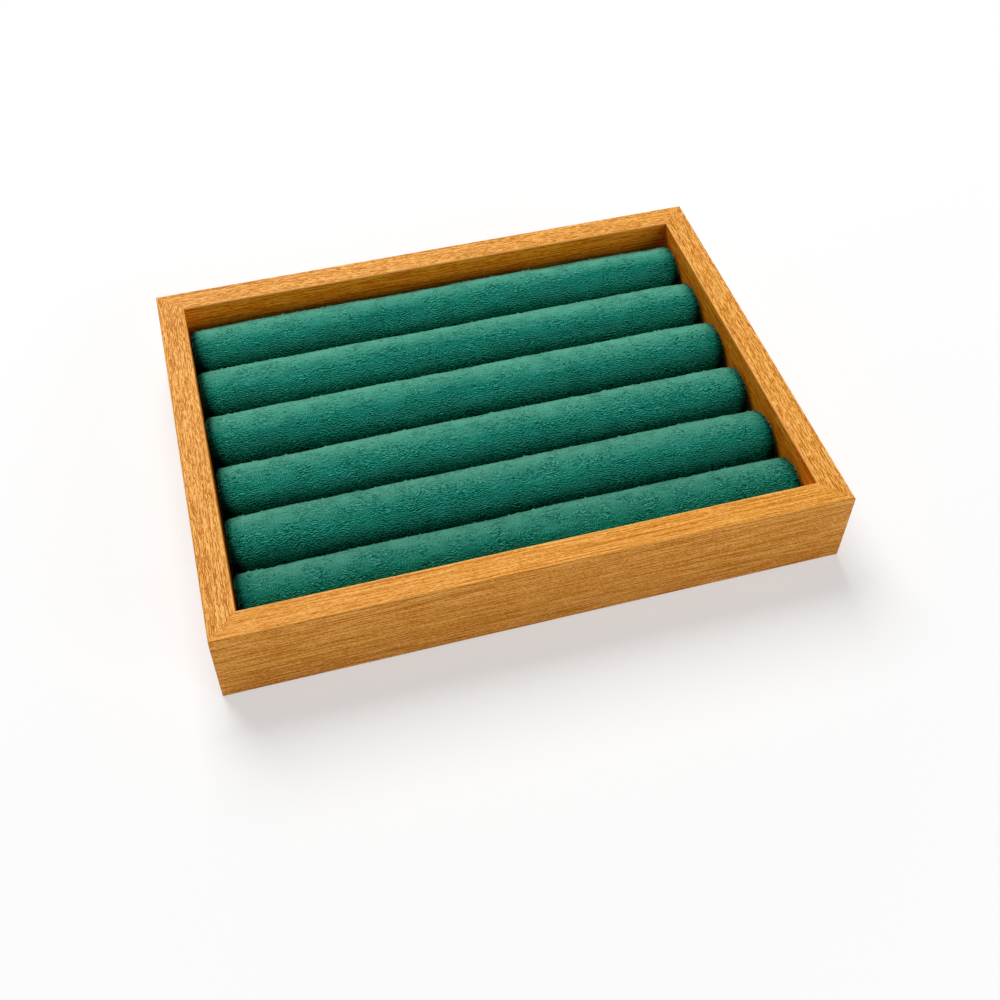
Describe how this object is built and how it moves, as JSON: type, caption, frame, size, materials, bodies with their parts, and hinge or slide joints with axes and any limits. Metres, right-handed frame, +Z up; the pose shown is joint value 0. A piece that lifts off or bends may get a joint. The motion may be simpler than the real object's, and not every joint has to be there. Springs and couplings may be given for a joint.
{
  "type": "ring tray",
  "caption": "Low open rectangular jewelry tray: a mitred wood-grain frame round parallel green velvet rolls that grip finger rings in the grooves between them.",
  "frame": {"origin": "middle of the flat underside, on the surface that the tray stands on", "axes": "+X along the rolls and the longer rails, +Y to the back rail, +Z up out of the open top"},
  "size_m": [0.2, 0.15, 0.029],
  "materials": {
    "fibreboard": "matte",
    "wood_grain_film": "satin",
    "nail_steel": "satin",
    "hardboard": "matte",
    "lining_velvet": "matte",
    "foam": "matte",
    "velvet": "matte"
  },
  "bodies": {
    "tray": {"front_rail_core": "fibreboard", "front_rail_film": "wood_grain_film", "right_rail_core": "fibreboard", "right_rail_film": "wood_grain_film", "back_rail_core": "fibreboard", "back_rail_film": "wood_grain_film", "left_rail_core": "fibreboard", "left_rail_film": "wood_grain_film", "corner_nails": "nail_steel", "base_board": "hardboard", "floor_lining": "lining_velvet"},
    "roll_1": {"roll_1_core": "foam", "roll_1_sleeve": "velvet"},
    "roll_2": {"roll_2_core": "foam", "roll_2_sleeve": "velvet"},
    "roll_3": {"roll_3_core": "foam", "roll_3_sleeve": "velvet"},
    "roll_4": {"roll_4_core": "foam", "roll_4_sleeve": "velvet"},
    "roll_5": {"roll_5_core": "foam", "roll_5_sleeve": "velvet"},
    "roll_6": {"roll_6_core": "foam", "roll_6_sleeve": "velvet"}
  },
  "joints": [
    {"name": "roll_1_lift", "type": "slide", "parent": "tray", "child": "roll_1", "axis": [0, 0, 1], "range_m": [0, 0.032]},
    {"name": "roll_2_lift", "type": "slide", "parent": "tray", "child": "roll_2", "axis": [0, 0, 1], "range_m": [0, 0.032]},
    {"name": "roll_3_lift", "type": "slide", "parent": "tray", "child": "roll_3", "axis": [0, 0, 1], "range_m": [0, 0.032]},
    {"name": "roll_4_lift", "type": "slide", "parent": "tray", "child": "roll_4", "axis": [0, 0, 1], "range_m": [0, 0.032]},
    {"name": "roll_5_lift", "type": "slide", "parent": "tray", "child": "roll_5", "axis": [0, 0, 1], "range_m": [0, 0.032]},
    {"name": "roll_6_lift", "type": "slide", "parent": "tray", "child": "roll_6", "axis": [0, 0, 1], "range_m": [0, 0.032]}
  ]
}
